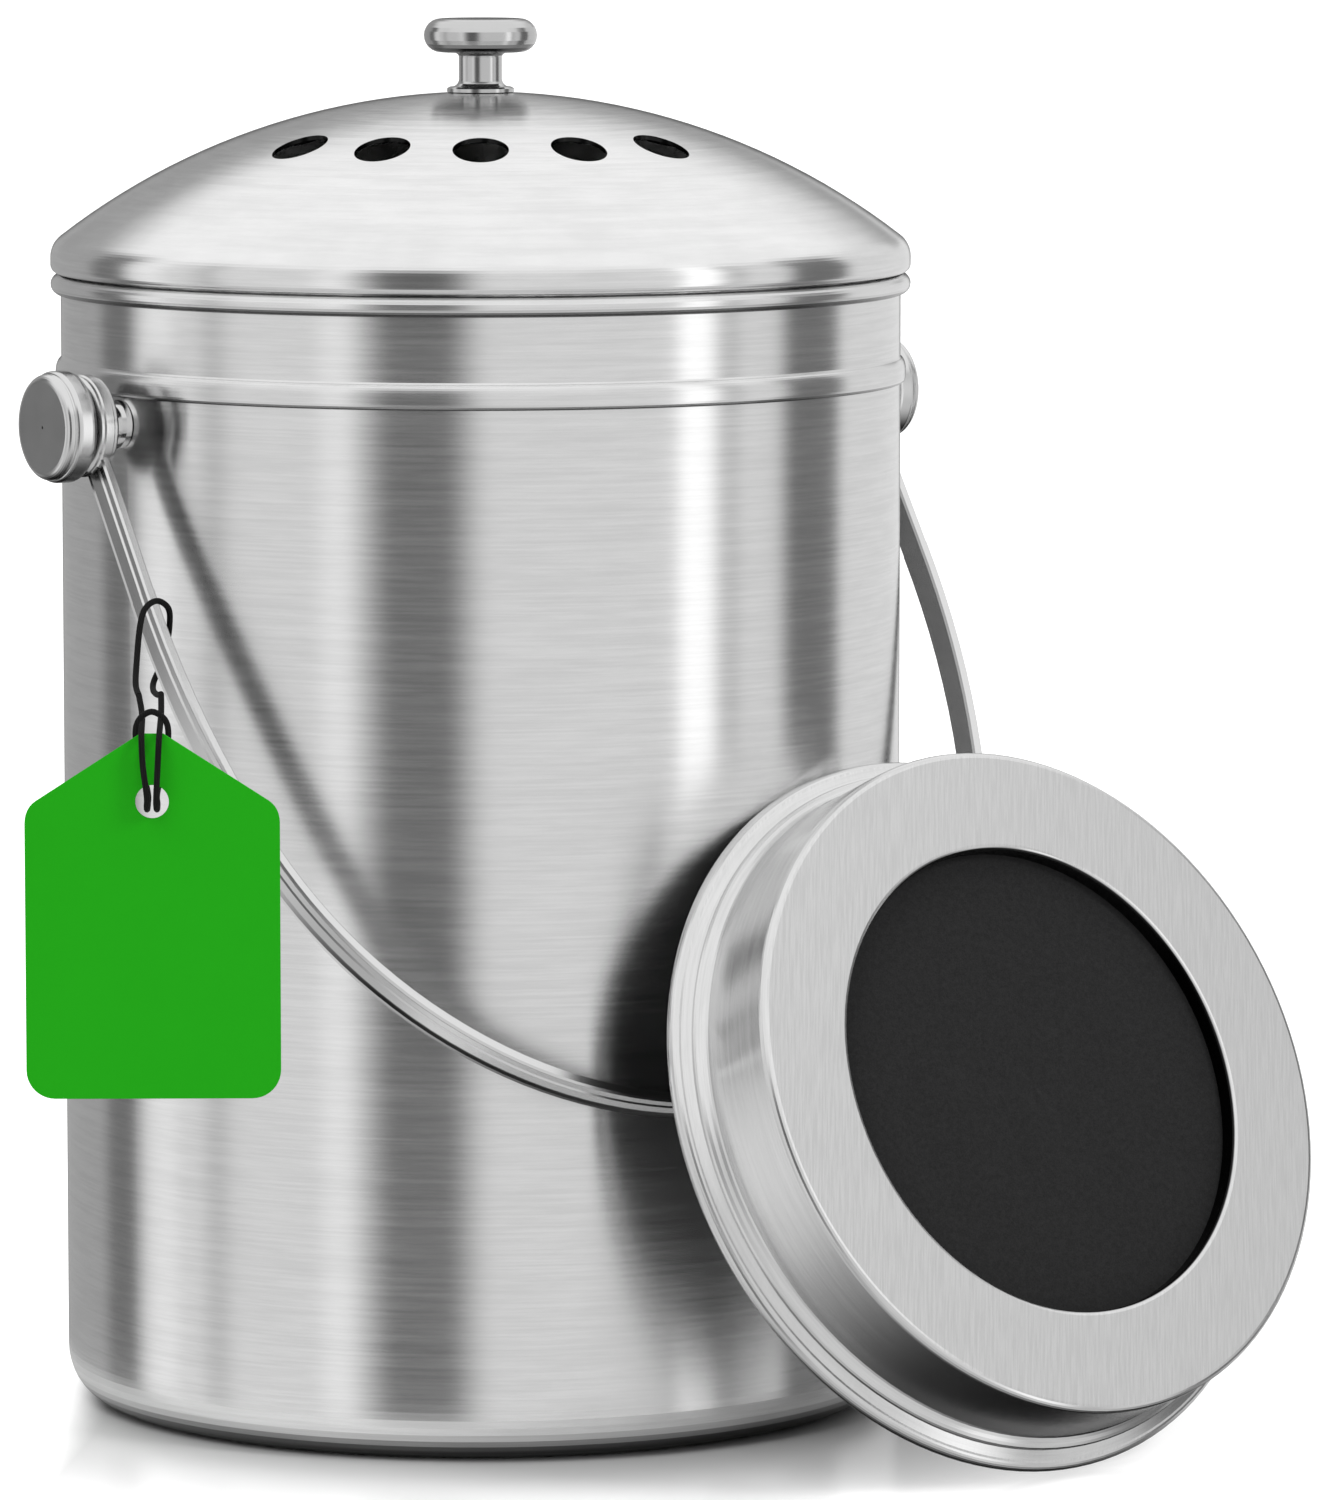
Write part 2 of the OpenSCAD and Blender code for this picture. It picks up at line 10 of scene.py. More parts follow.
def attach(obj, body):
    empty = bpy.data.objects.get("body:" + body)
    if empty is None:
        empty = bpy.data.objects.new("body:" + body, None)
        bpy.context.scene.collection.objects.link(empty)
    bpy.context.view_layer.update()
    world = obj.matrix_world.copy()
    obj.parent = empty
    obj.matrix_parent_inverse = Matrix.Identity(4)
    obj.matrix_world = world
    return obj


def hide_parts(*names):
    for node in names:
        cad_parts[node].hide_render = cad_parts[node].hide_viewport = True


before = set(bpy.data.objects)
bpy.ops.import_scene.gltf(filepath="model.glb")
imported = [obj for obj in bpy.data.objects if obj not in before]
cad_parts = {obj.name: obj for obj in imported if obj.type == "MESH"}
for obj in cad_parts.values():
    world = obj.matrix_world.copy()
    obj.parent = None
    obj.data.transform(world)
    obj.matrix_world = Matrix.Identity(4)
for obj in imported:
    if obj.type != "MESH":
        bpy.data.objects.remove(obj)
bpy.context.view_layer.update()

# Lengths are in metres and angles in degrees, unless a comment says otherwise. A pair of numbers is
# where a change begins and where it ends.

# Camera
CAMERA_PLACE = (-0.9379, -1.4442, 0.3234)
CAMERA_TURN = 34.2
CAMERA_DOWN = 6.42
CAMERA_LENS = 234.19
CAMERA_SENSOR = 36
CAMERA_CLIP = (0.05, 50)

# Pail and bail
PAIL_R = 0.084
PIVOT_Z = 0.199
BAIL_HALF = 0.092
BAIL_REST = 33.956
BAIL_MIDDLE = (0, 0, 0.13)
# Where shade is painted: the bail's lower edge, the back of the end knobs and a dimple in their ends
BAIL_BACK_EDGE = (0.0010, 0.0018)
KNOB_BACK = (0.0953, 0.0963)
DIMPLE_R = (0.00018, 0.0004)

# Lid: the vent holes, whose cut walls get painted shade, lie nearer to the axis than this
VENTS_R = (0.06, 0.062)

# Spare filter cup: its lean and its turn, its rolled edge, and the edge of its window, where shade is
# painted
SPARE_LEAN = 24
SPARE_TURN = 4.5
SPARE_X = 0.044
CUP_FACE_Z = 0.1943
EDGE_RING_R = 0.0704
EDGE_RING_Z = 0.0232
EDGE_HALF = 0.0018
EDGE_STEPS = 120
SEAT_GAP = 0.0003
WINDOW_EDGE = (0.0467, 0.0470)

# Charcoal pad: its shape, how finely it is divided, and its waves: their height, how they follow
# each other outward and round a slow spiral, and how far they sway
PAD_R = 0.0647
PAD_LOW = 0.0037
PAD_T = 0.008
PAD_SOFT = 0.0015
PAD_RINGS = 40
PAD_PARTS = 160
PAD_WAVE = 0.00012
PAD_WAVE_OUT = 210
PAD_WAVE_SPIRAL = 90
PAD_WAVE_SWAY = 1.3

# Tag
TAG_HOLE = Vector((-0.106, -0.0481, 0.131))
TAG_TURN = -33
TAG_W = 0.0485
TAG_H = 0.070
TAG_T = 0.0008
TAG_CORNER = 0.0055
TAG_CORNER_STEPS = 10
TAG_SHOULDER = 0.015
TAG_CHAMFER = 0.0022
TAG_CHAMFER_STEPS = 6
TAG_FLAT = 0.0022
TAG_HOLE_R = 0.0032
TAG_HOLE_SIDES = 48
TAG_HOLE_DROP = 0.013
TAG_EDGE = TAG_T * 0.22

# Cord of the tag. Its two routes are in millimetres: the loop round the bail's left leg, in the frame
# of the bail hanging straight down, and the rest of it, measured from the tag's hole.
CORD_D = 0.0012
CORD_STEPS = 6
LOOP_ROUTE = [
    (-12.5, -6.9, -63.1), (-10.6, -4.2, -59.3), (-7.9, -2.9, -53.8), (-5.6, -4.3, -47.1),
    (-3.4, -4.8, -43.4), (-0.2, -4.8, -41.9), (2.7, -3.3, -43), (3.6, -0.2, -45.4),
    (3.6, 3.2, -48), (2.3, 5.3, -51), (0.1, 5.7, -53.9), (-2.3, 3.2, -57),
    (-4.9, -1.5, -60.4), (-7.6, -6.9, -63.1),
]
CORD_ROUTE = [
    (1.5, 7.13, 19.51), (0.3, 4, 16.1), (-2.5, -0.4, 12.4), (-2.7, -1.2, 7),
    (-2.3, -1.9, 1.4), (-1.9, -1.2, -0.6), (-0.8, 0.5, -1.5), (0.4, 2.2, -0.6),
    (0.8, 2.9, 1.4), (-0.6, 3, 7), (-1.7, 3.1, 12.2), (-1.2, 2.7, 15.4),
    (0.8, 1.3, 17), (3, 0, 15.4), (3.5, -0.3, 12.2), (3, 0.6, 7),
    (2.3, 1.9, 1.4), (1.9, 1.2, -0.6), (0.8, -0.5, -1.5), (-0.4, -2.2, -0.6),
    (-0.8, -2.9, 1.4), (-0.4, -2.8, 7), (0.2, -2.4, 12.4), (4.1, 3.3, 16.3),
    (6.4, 7.13, 19.51),
]


# Helpers


def new_object(name, data):
    piece = bpy.data.objects.new(name, data)
    bpy.context.collection.objects.link(piece)
    return piece


def new_mesh(name, b, material):
    """Turns a finished bmesh into a mesh with a material."""
    mesh = bpy.data.meshes.new(name)
    b.to_mesh(mesh)
    b.free()
    mesh.materials.append(material)
    return mesh


def placed(place, turn):
    """The matrix that turns a piece by three angles in radians and sets it at a place."""
    return Matrix.Translation(place) @ Euler(turn).to_matrix().to_4x4()


def through(route, steps):
    """Points of the smooth curve that passes through a route's points."""
    points = []
    last = len(route) - 1
    for i in range(last):
        a, b = Vector(route[max(i - 1, 0)]), Vector(route[i])
        c, d = Vector(route[i + 1]), Vector(route[min(i + 2, last)])
        for k in range(steps):
            t = k / steps
            bend = (2 * a - 5 * b + 4 * c - d) * t**2 + (3 * b - a - 3 * c + d) * t**3
            points.append((2 * b + (c - a) * t + bend) / 2)
    points.append(Vector(route[last]))
    return points


def grey(tone):
    return (tone, tone, tone)


class Nodes:
    """Adds nodes to one node tree and links them."""

    def __init__(self, tree):
        self.tree = tree

    def add(self, kind, inputs=(), **settings):
        node = self.tree.nodes.new(kind)
        for name, value in settings.items():
            setattr(node, name, value)
        for key, value in dict(inputs).items():
            self.put(node.inputs[key], value)
        return node

    def put(self, socket, value):
        if isinstance(value, bpy.types.NodeSocket):
            self.tree.links.new(value, socket)
        else:
            socket.default_value = value

    def math(self, operation, a, b=0.0, c=0.0):
        return self.add("ShaderNodeMath", {0: a, 1: b, 2: c}, operation=operation).outputs[0]

    def vector(self, operation, a, b=(0, 0, 0)):
        node = self.add("ShaderNodeVectorMath", {0: a, 1: b}, operation=operation)
        return node.outputs["Value" if operation in ("LENGTH", "DOT_PRODUCT") else "Vector"]

    def split(self, vector):
        return self.add("ShaderNodeSeparateXYZ", {0: vector}).outputs

    def join(self, x, y, z=0.0):
        return self.add("ShaderNodeCombineXYZ", {0: x, 1: y, 2: z}).outputs[0]

    def between(self, value, low, high, start, end):
        """Goes smoothly from start to end while the value goes from low to high."""
        inputs = {0: value, 1: low, 2: high, 3: start, 4: end}
        return self.add("ShaderNodeMapRange", inputs, interpolation_type="SMOOTHSTEP").outputs[0]

    def rise(self, value, low, high):
        return self.between(value, low, high, 0.0, 1.0)

    def fall(self, value, low, high):
        return self.between(value, low, high, 1.0, 0.0)

    def noise(self, vector, scale, detail, roughness):
        inputs = {"Vector": vector, "Scale": scale, "Detail": detail, "Roughness": roughness}
        return self.add("ShaderNodeTexNoise", inputs).outputs[0]

    def mix(self, share, a, b):
        return self.add("ShaderNodeMix", {0: share, 2: a, 3: b}, data_type="FLOAT").outputs[0]

    def blend(self, share, a, b):
        """Mixes two colours, each a socket or three numbers."""
        first, second = ((*c, 1) if isinstance(c, tuple) else c for c in (a, b))
        return self.add("ShaderNodeMix", {0: share, 6: first, 7: second}, data_type="RGBA").outputs[2]

    def bump(self, strength, distance, height):
        inputs = {"Strength": strength, "Distance": distance, "Height": height}
        return self.add("ShaderNodeBump", inputs).outputs[0]


class Finish(Nodes):
    """A new material and the nodes in front of its shader."""

    def __init__(self, name):
        self.material = bpy.data.materials.new(name)
        self.material.use_nodes = True
        super().__init__(self.material.node_tree)
        self.shader = self.tree.nodes["Principled BSDF"]
        self.where = self.add("ShaderNodeTexCoord").outputs["Object"]

    def apply(self, values):
        for name, value in values.items():
            self.put(self.shader.inputs[name], value)

    def normal(self):
        return self.add("ShaderNodeNewGeometry").outputs["Normal"]

    def upward(self):
        """How much the surface looks up: 1 for a floor, 0 for a wall and -1 for a ceiling."""
        return self.split(self.normal())[2]

    def paint_shade(self, share, tone):
        """Paints shade: turns the colour towards a dark grey tone by a share from 0 to 1."""
        socket = self.shader.inputs["Base Color"]
        self.put(socket, self.blend(share, socket.links[0].from_socket, grey(tone)))


# Materials

# Streaks of brushed steel, in two layers: the waves round the axis, the waves to a metre across the
# streaks, and the layer's share. They start a little way off the axis.
STREAKS = ((2.4, 1500, 0.6), (6.0, 450, 0.4))
STREAK_TONE = 0.065
STREAK_EDGE = (0.3, 0.7)
STREAK_START = (0.004, 0.03)

# How far the roughness goes up and down, in all: with the streaks, with smudges on brushed steel and
# with the wipe marks on polished steel
STREAK_ROUGH = 0.12
SMUDGE_ROUGH = 0.04
WIPE_ROUGH = 0.06
WIPE_DARK = 0.95

# Straight streaks on a face that looks along the axis: their slant, and the waves to a metre across
# and along them
FACE_LOOK = (0.9, 0.98)
FACE_SLANT = 0.35
FACE_FINE = 1900
FACE_LONG = 95

# Painted shade on the steel: how far the surface looks up there, or away from the bail's middle,
# and how bright the painted shade is
UNDERSIDE = (-0.75, -0.3)
PAINTED_UNDERSIDE_SHADE = 0.08
VENT_WALL = (0.1, 0.25)
PAINTED_VENT_SHADE = 0.02
PAINTED_WINDOW_SHADE = 0.015
KNOB_UNDERSIDE = (-0.8, -0.3)
PAINTED_KNOB_SHADE = 0.05
BAIL_INSIDE = (-0.5, -0.2)
PAINTED_BAIL_INSIDE_SHADE = 0.2
BAIL_UNDERSIDE = (-0.55, -0.2)
PAINTED_BAIL_UNDERSIDE_SHADE = 0.02


def round_streaks(look, x, y, z, out):
    """Streaks that run round the axis."""
    round_x, round_y, _ = look.split(look.vector("NORMALIZE", look.join(x, y)))
    across = look.math("ADD", z, out)
    layers = []
    for waves, fine, share in STREAKS:
        at = look.join(look.math("MULTIPLY", round_x, waves), look.math("MULTIPLY", round_y, waves),
                       look.math("MULTIPLY", across, fine))
        layers.append(look.math("MULTIPLY", look.noise(at, scale=1, detail=3, roughness=0.6), share))
    return look.math("ADD", *layers)


def straight_streaks(look, x, y):
    """Streaks that run straight over a face."""
    across = look.math("MULTIPLY_ADD", y, FACE_SLANT, x)
    along = look.math("MULTIPLY_ADD", x, -FACE_SLANT, y)
    at = look.join(look.math("MULTIPLY", across, FACE_FINE), look.math("MULTIPLY", along, FACE_LONG))
    return look.noise(at, scale=1, detail=3, roughness=0.6)


def brushed(name, tone, rough, spread, axis=(0, 0, 1), face=None):
    """Steel brushed round an axis, and the distance from that axis.

    A face, given by its centre and its turn, looks along the axis and is brushed straight.
    """
    look = Finish(name)
    where = look.where
    if face:
        inputs = {"Vector": where, "Location": face[0], "Rotation": face[1]}
        where = look.add("ShaderNodeMapping", inputs, vector_type="TEXTURE").outputs[0]
    x, y, z = look.split(where)
    out = look.vector("LENGTH", look.join(x, y))
    normal = look.normal()
    grain = round_streaks(look, x, y, z, out)
    if face:
        on_face = look.rise(look.vector("DOT_PRODUCT", normal, axis), *FACE_LOOK)
        grain = look.mix(on_face, grain, straight_streaks(look, x, y))
        spread = look.math("MULTIPLY_ADD", on_face, -spread, spread)
    grain = look.mix(look.rise(out, *STREAK_START), 0.5, grain)
    smudge = look.noise(where, scale=18, detail=2, roughness=0.5)
    smoothest = rough - (STREAK_ROUGH + SMUDGE_ROUGH) / 2
    streaked = look.math("MULTIPLY_ADD", grain, STREAK_ROUGH, smoothest)
    dark, light = grey(tone * (1 - STREAK_TONE)), grey(tone * (1 + STREAK_TONE))
    look.apply({
        "Base Color": look.blend(look.rise(grain, *STREAK_EDGE), dark, light),
        "Metallic": 1.0,
        "Roughness": look.math("MULTIPLY_ADD", smudge, SMUDGE_ROUGH, streaked),
        "Anisotropic": spread,
        "Anisotropic Rotation": 0.25,
        "Tangent": look.vector("CROSS_PRODUCT", axis, normal),
        "Normal": look.bump(strength=0.07, distance=0.00004, height=grain),
    })
    return look, out


def pail_steel():
    """Brushed steel, with painted shade under the rim, under the ridge and at the corner of the base."""
    look, _ = brushed("pail_steel", tone=0.80, rough=0.23, spread=0.95)
    # Painted shade: the steel turns dark where it faces down
    look.paint_shade(look.fall(look.upward(), *UNDERSIDE), PAINTED_UNDERSIDE_SHADE)
    return look.material


def lid_steel():
    """Brushed steel, with painted shade on the cut walls of the vent holes."""
    look, out = brushed("lid_steel", tone=0.82, rough=0.2, spread=0.75)
    steep = look.fall(look.math("ABSOLUTE", look.upward()), *VENT_WALL)
    # Painted shade on the steep walls of the vent holes
    look.paint_shade(look.math("MULTIPLY", steep, look.fall(out, *VENTS_R)), PAINTED_VENT_SHADE)
    return look.material


def cup_finish(name, axis, face):
    """Brushed steel with a face brushed straight, and painted shade on the edge of the window."""
    look, out = brushed(name, tone=0.72, rough=0.19, spread=0.75, axis=axis, face=face)
    # Painted shade on the edge of the window
    look.paint_shade(look.fall(out, *WINDOW_EDGE), PAINTED_WINDOW_SHADE)
    return look


def cup_steel():
    return cup_finish("cup_steel", (0, 0, -1), ((0, 0, 0), (0, 0, 0))).material


def spare_steel(axis, face):
    """The cup's steel where the spare cup lies, with painted shade underneath."""
    look = cup_finish("spare_steel", axis, face)
    # Painted shade where the steel faces down
    look.paint_shade(look.fall(look.upward(), *UNDERSIDE), PAINTED_UNDERSIDE_SHADE)
    return look.material


def polished(name, tone, rough):
    """Polished steel with faint wipe marks."""
    look = Finish(name)
    wipes = look.noise(look.where, scale=140, detail=3, roughness=0.6)
    fine = look.noise(look.where, scale=2600, detail=2, roughness=0.5)
    look.apply({
        "Base Color": look.blend(wipes, grey(tone * WIPE_DARK), grey(tone)),
        "Metallic": 1.0,
        "Roughness": look.math("MULTIPLY_ADD", wipes, WIPE_ROUGH, rough - WIPE_ROUGH / 2),
        "Normal": look.bump(strength=0.05, distance=0.00003, height=fine),
    })
    return look


def bright_steel():
    return polished("bright_steel", tone=0.84, rough=0.11).material


def lid_knob_steel():
    """Polished steel, with painted shade underneath."""
    look = polished("lid_knob_steel", tone=0.62, rough=0.17)
    # Painted shade where the knob faces down
    look.paint_shade(look.fall(look.upward(), *KNOB_UNDERSIDE), PAINTED_KNOB_SHADE)
    return look.material


def pivot_steel():
    """Polished steel of the end knobs, with painted shade of a small dimple in the end, at the back and
    below.
    """
    look = polished("pivot_steel", tone=0.72, rough=0.18)
    off = look.vector("SUBTRACT", look.where, (0, 0, PIVOT_Z))
    reach = look.vector("LENGTH", look.vector("MULTIPLY", off, (0, 1, 1)))
    aside = look.math("ABSOLUTE", look.split(look.where)[0])
    # Painted shade of the dimple, and at the back in the gap by the bail's eye
    unshaded = look.math("MULTIPLY", look.rise(reach, *DIMPLE_R), look.rise(aside, *KNOB_BACK))
    look.paint_shade(look.math("SUBTRACT", 1.0, unshaded), PAINTED_KNOB_SHADE)
    # Painted shade below
    look.paint_shade(look.fall(look.upward(), *KNOB_UNDERSIDE), PAINTED_KNOB_SHADE)
    return look.material


def satin_steel():
    """Satin steel of the bail, with painted shade on the side to the pail and on the lower edge."""
    look = polished("satin_steel", tone=0.74, rough=0.2)
    # Painted shade on the side that faces the pail
    outward = look.vector("NORMALIZE", look.vector("SUBTRACT", look.where, BAIL_MIDDLE))
    facing = look.vector("DOT_PRODUCT", outward, look.normal())
    look.paint_shade(look.fall(facing, *BAIL_INSIDE), PAINTED_BAIL_INSIDE_SHADE)
    # Painted shade on the lower edge, where it faces down
    rest = math.radians(BAIL_REST)
    off = look.vector("SUBTRACT", look.where, (0, 0, PIVOT_Z))
    back = look.vector("DOT_PRODUCT", off, (0, math.cos(rest), -math.sin(rest)))
    below = look.fall(look.upward(), *BAIL_UNDERSIDE)
    look.paint_shade(look.math("MULTIPLY", look.rise(back, *BAIL_BACK_EDGE), below), PAINTED_BAIL_UNDERSIDE_SHADE)
    return look.material


def carbon_felt():
    """Black non-woven pad with carbon: soft mottling and short fibres."""
    look = Finish("carbon_felt")
    mottle = look.noise(look.where, scale=900, detail=4, roughness=0.65)
    fibre = look.noise(look.where, scale=3200, detail=3, roughness=0.7)
    both = look.math("MULTIPLY_ADD", fibre, 0.6, look.math("MULTIPLY", mottle, 0.4))
    dark, light = (0.009, 0.009, 0.0092), (0.021, 0.021, 0.0214)
    look.apply({
        "Base Color": look.blend(look.rise(both, 0.3, 0.7), dark, light),
        "Roughness": 0.95,
        "Specular IOR Level": 0.2,
        "Sheen Weight": 0.08,
        "Sheen Roughness": 0.5,
        "Normal": look.bump(strength=0.5, distance=0.00015, height=both),
    })
    return look.material


def green_card():
    """Smooth coloured card with a faint paper grain."""
    look = Finish("green_card")
    cloud = look.noise(look.where, scale=60, detail=3, roughness=0.6)
    paper = look.noise(look.where, scale=2400, detail=3, roughness=0.6)
    look.apply({
        "Base Color": look.blend(cloud, (0.012, 0.365, 0.005), (0.014, 0.39, 0.006)),
        "Roughness": look.math("MULTIPLY_ADD", paper, 0.15, 0.55),
        "Specular IOR Level": 0.12,
        "Normal": look.bump(strength=0.15, distance=0.00005, height=paper),
    })
    return look.material


def black_cord():
    """Round elastic cord with a braided cover."""
    look = Finish("black_cord")
    waves = {"Vector": look.where, "Scale": 900.0, "Distortion": 2.0}
    braid = look.add("ShaderNodeTexWave", waves).outputs[1]
    look.apply({
        "Base Color": look.blend(braid, grey(0.003), grey(0.009)),
        "Roughness": 0.7,
        "Specular IOR Level": 0.15,
        "Normal": look.bump(strength=0.4, distance=0.0001, height=braid),
    })
    return look.material


# Camera and cord


def add_camera():
    data = bpy.data.cameras.new("camera")
    data.lens = CAMERA_LENS
    data.sensor_width = CAMERA_SENSOR
    data.sensor_fit = "HORIZONTAL"
    data.clip_start, data.clip_end = CAMERA_CLIP
    camera = new_object("camera", data)
    camera.location = CAMERA_PLACE
    camera.rotation_euler = (math.radians(90 - CAMERA_DOWN), 0, math.radians(-CAMERA_TURN))
    bpy.context.scene.camera = camera


def add_cord(name, route, matrix, material):
    """A round cord through the route, set in the scene by the matrix. The steel doesn't reflect it."""
    points = [matrix @ (point / 1000) for point in through(route, CORD_STEPS)]
    curve = bpy.data.curves.new(name, "CURVE")
    curve.dimensions = "3D"
    curve.bevel_depth = CORD_D / 2
    curve.bevel_resolution = 4
    curve.use_fill_caps = True
    spline = curve.splines.new("POLY")
    spline.points.add(len(points) - 1)
    for point, place in zip(spline.points, points):
        point.co = (*place, 1)
    curve.materials.append(material)
    piece = new_object(name, curve)
    piece.visible_glossy = False
    length = sum((b - a).length for a, b in zip(points, points[1:]))
    return piece, points[0], length


def add_cords():
    """The loop on the bail, and the rest of the cord on the tag."""
    material = black_cord()
    bail = placed((0, 0, PIVOT_Z), (math.radians(-BAIL_REST), 0, 0))
    leg = Matrix.Translation((-BAIL_HALF, 0, 0))
    loop = add_cord("loop_round", LOOP_ROUTE, bail @ leg, material)
    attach(loop[0], "bail")
    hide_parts("tag_loop")
    low = add_cord("cord_round", CORD_ROUTE, Matrix.Translation(TAG_HOLE), material)
    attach(low[0], "tag")
    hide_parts("tag_cord")
    return loop, low


# Tag and pads


def tag_outline():
    """The card's outline round its hole, from the left end of its top and down the left side."""
    top = TAG_HOLE_DROP
    low = TAG_HOLE_DROP - TAG_H
    shoulder = TAG_HOLE_DROP - TAG_SHOULDER
    half = TAG_W / 2
    slope = (top - shoulder - TAG_CHAMFER) / (half - TAG_CHAMFER - TAG_FLAT)
    bend = []
    for i in range(TAG_CHAMFER_STEPS + 1):
        t = i / TAG_CHAMFER_STEPS
        up = (1 - t)**2 - 2 * t * (1 - t) * (slope - 1) - t**2
        bend.append((half - TAG_CHAMFER * (1 - t)**2, shoulder + TAG_CHAMFER * up))
    points = [(-TAG_FLAT, top)] + [(-x, y) for x, y in bend]
    for x, start in ((-half + TAG_CORNER, 180), (half - TAG_CORNER, 270)):
        for i in range(TAG_CORNER_STEPS + 1):
            a = math.radians(start + 90 * i / TAG_CORNER_STEPS)
            points.append((x + TAG_CORNER * math.cos(a), low + TAG_CORNER * (1 + math.sin(a))))
    points += bend[::-1] + [(TAG_FLAT, top)]
    return points


def hole_outline():
    turns = [2 * math.pi * i / TAG_HOLE_SIDES for i in range(TAG_HOLE_SIDES)]
    return [(TAG_HOLE_R * math.cos(a), TAG_HOLE_R * math.sin(a)) for a in turns]


def add_tag(material):
    """The card, drawn round its hole, then turned and set at the cord. The steel doesn't reflect it."""
    b = bmesh.new()
    edges = []
    for outline in (tag_outline(), hole_outline()):
        ring = [b.verts.new((x, y, -TAG_T / 2)) for x, y in outline]
        edges += [b.edges.new((low, high)) for low, high in zip(ring, ring[1:] + ring[:1])]
    bmesh.ops.triangle_fill(b, use_beauty=True, use_dissolve=False, edges=edges)
    made = bmesh.ops.extrude_face_region(b, geom=b.faces[:])
    front = [v for v in made["geom"] if isinstance(v, bmesh.types.BMVert)]
    bmesh.ops.translate(b, verts=front, vec=(0, 0, TAG_T))
    bmesh.ops.recalc_face_normals(b, faces=b.faces)
    hung = placed(TAG_HOLE, (math.radians(90), 0, math.radians(TAG_TURN)))
    bmesh.ops.transform(b, matrix=hung, verts=b.verts)
    piece = new_object("tag_card", new_mesh("tag_card", b, material))
    bevel = piece.modifiers.new("edge", "BEVEL")
    bevel.width = TAG_EDGE
    bevel.segments = 2
    bevel.limit_method = "ANGLE"
    piece.visible_glossy = False
    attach(piece, "tag")
    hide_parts("hang_tag")
    return piece


def spare_place():
    """Centre of the spare cup's face and its turn: the rolled edge stands on the floor, by the wall."""
    lean, turn = math.radians(SPARE_LEAN), math.radians(SPARE_TURN)
    reach = PAIL_R + EDGE_HALF + SEAT_GAP
    depths = []
    for i in range(EDGE_STEPS):
        a = 2 * math.pi * i / EDGE_STEPS
        across = EDGE_RING_R * math.cos(a)
        back = EDGE_RING_Z * math.cos(lean) - EDGE_RING_R * math.sin(a) * math.sin(lean)
        x = SPARE_X + across * math.cos(turn) - back * math.sin(turn)
        y = across * math.sin(turn) + back * math.cos(turn)
        if abs(x) < reach:
            depths.append(-math.sqrt(reach**2 - x**2) - y)
    z = EDGE_RING_R * math.cos(lean) + EDGE_RING_Z * math.sin(lean) + EDGE_HALF
    return (SPARE_X, min(depths), z), (math.radians(-90 - SPARE_LEAN), 0, turn)


def pad_profile():
    """Radius and height, from the middle of one face round the soft edge to the other's middle."""
    flat = PAD_R - PAD_SOFT
    half = [(flat * i / PAD_RINGS, 0.0) for i in range(PAD_RINGS + 1)]
    for degrees in (-60, -30, 0):
        a = math.radians(degrees)
        half.append((flat + PAD_SOFT * math.cos(a), PAD_SOFT * (1 + math.sin(a))))
    return half + [(r, PAD_T - z) for r, z in reversed(half)]


def pad_ring(b, r, z):
    """One ring of the pad, lifted by low waves that die out at its edge."""
    if r == 0:
        return [b.verts.new((0, 0, PAD_LOW + z))]
    ring = []
    for k in range(PAD_PARTS):
        a = 2 * math.pi * k / PAD_PARTS
        outward = math.sin(r * PAD_WAVE_OUT + PAD_WAVE_SWAY * math.sin(3 * a))
        wave = outward * math.sin(2 * a + r * PAD_WAVE_SPIRAL)
        lift = PAD_WAVE * wave * (1 - (r / PAD_R) ** 4)
        ring.append(b.verts.new((r * math.cos(a), r * math.sin(a), PAD_LOW + z + lift)))
    return ring


def add_pad(name, node, body, matrix, material):
    """A felt pad, slightly uneven, lying on the hem round the cup's window."""
    b = bmesh.new()
    rings = [pad_ring(b, r, z) for r, z in pad_profile()]
    for low, high in zip(rings, rings[1:]):
        for k in range(PAD_PARTS):
            m = (k + 1) % PAD_PARTS
            if len(low) == 1:
                b.faces.new((low[0], high[m], high[k]))
            elif len(high) == 1:
                b.faces.new((low[k], low[m], high[0]))
            else:
                b.faces.new((low[k], low[m], high[m], high[k]))
    bmesh.ops.recalc_face_normals(b, faces=b.faces)
    bmesh.ops.transform(b, matrix=matrix, verts=b.verts)
    mesh = new_mesh(name, b, material)
    for face in mesh.polygons:
        face.use_smooth = True
    piece = new_object(name, mesh)
    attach(piece, body)
    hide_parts(node)


# Studio

# Softboxes and flags round the object, which the steel reflects: the direction in degrees to the
# right of the camera, the width, how soft the edge is and the brightness
CARDS = [
    (-146, 60, 6, 0.38),
    (-117, 17, 9, 0.17),
    (-98, 12, 8, 0.95),
    (-77, 8, 8, 0.55),
    (-39, 9, 8, 0.95),
    (-16, 27, 14, 0.13),
    (62, 11, 6, 1.35),
    (73, 6, 5, 0.58),
    (104, 24, 9, 0.17),
]

# Brightness of the rest, and where each part of it lies. The pairs are components of the direction:
# upward for HIGH, LOW and BEHIND_RISE, and towards the camera for the others.
OPEN_TONE = 0.77
BEHIND_TONE = 0.34
BEHIND = (-0.97, -0.84)
BEHIND_RISE = (0.12, 0.2)
HIGH_TONE = 1.02
HIGH = (0.4, 0.62)
FLOOR_TONE = 0.62
LOW = (-0.75, -0.3)
SHADOW_TONE = 0.03
SHADOW = (-0.6, 0.1)
EDGE_TONE = 0.1
EDGE = (-0.996, -0.975)
DIFFUSE_TONE = 0.6

